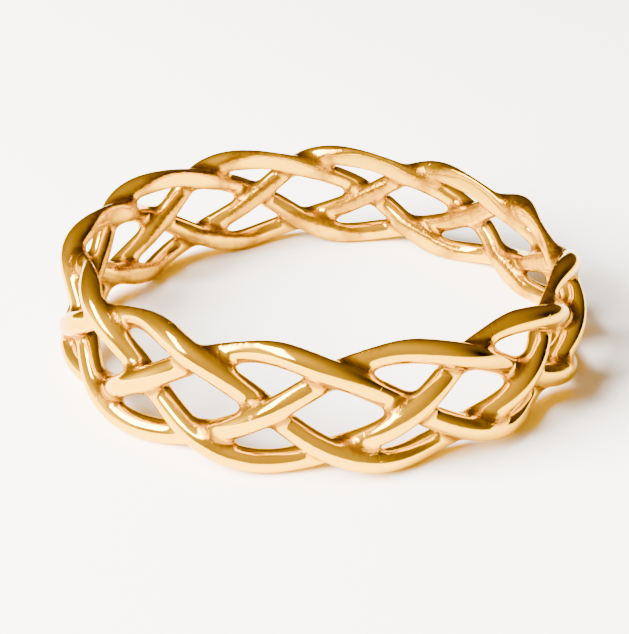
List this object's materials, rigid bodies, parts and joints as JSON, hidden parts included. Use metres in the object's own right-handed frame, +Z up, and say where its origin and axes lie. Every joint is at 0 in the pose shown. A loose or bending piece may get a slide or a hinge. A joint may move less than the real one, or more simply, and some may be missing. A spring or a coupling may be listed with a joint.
{
  "type": "finger ring",
  "caption": "Openwork finger ring: round strands in a flat braid, cast as one closed band of polished yellow gold.",
  "frame": {"origin": "on the ground under the middle of the finger hole, with the ring lying on its side", "axes": "+Z up along the axis of the finger hole; +Y away from the picture's viewer; +X to the viewer's right"},
  "size_m": [0.02, 0.02, 0.0049],
  "materials": {
    "yellow_gold": "cast yellow gold, polished bright, bore polished flush, fine pits and scratches left"
  },
  "bodies": {
    "root": {"braided_band": "yellow_gold"}
  },
  "joints": []
}
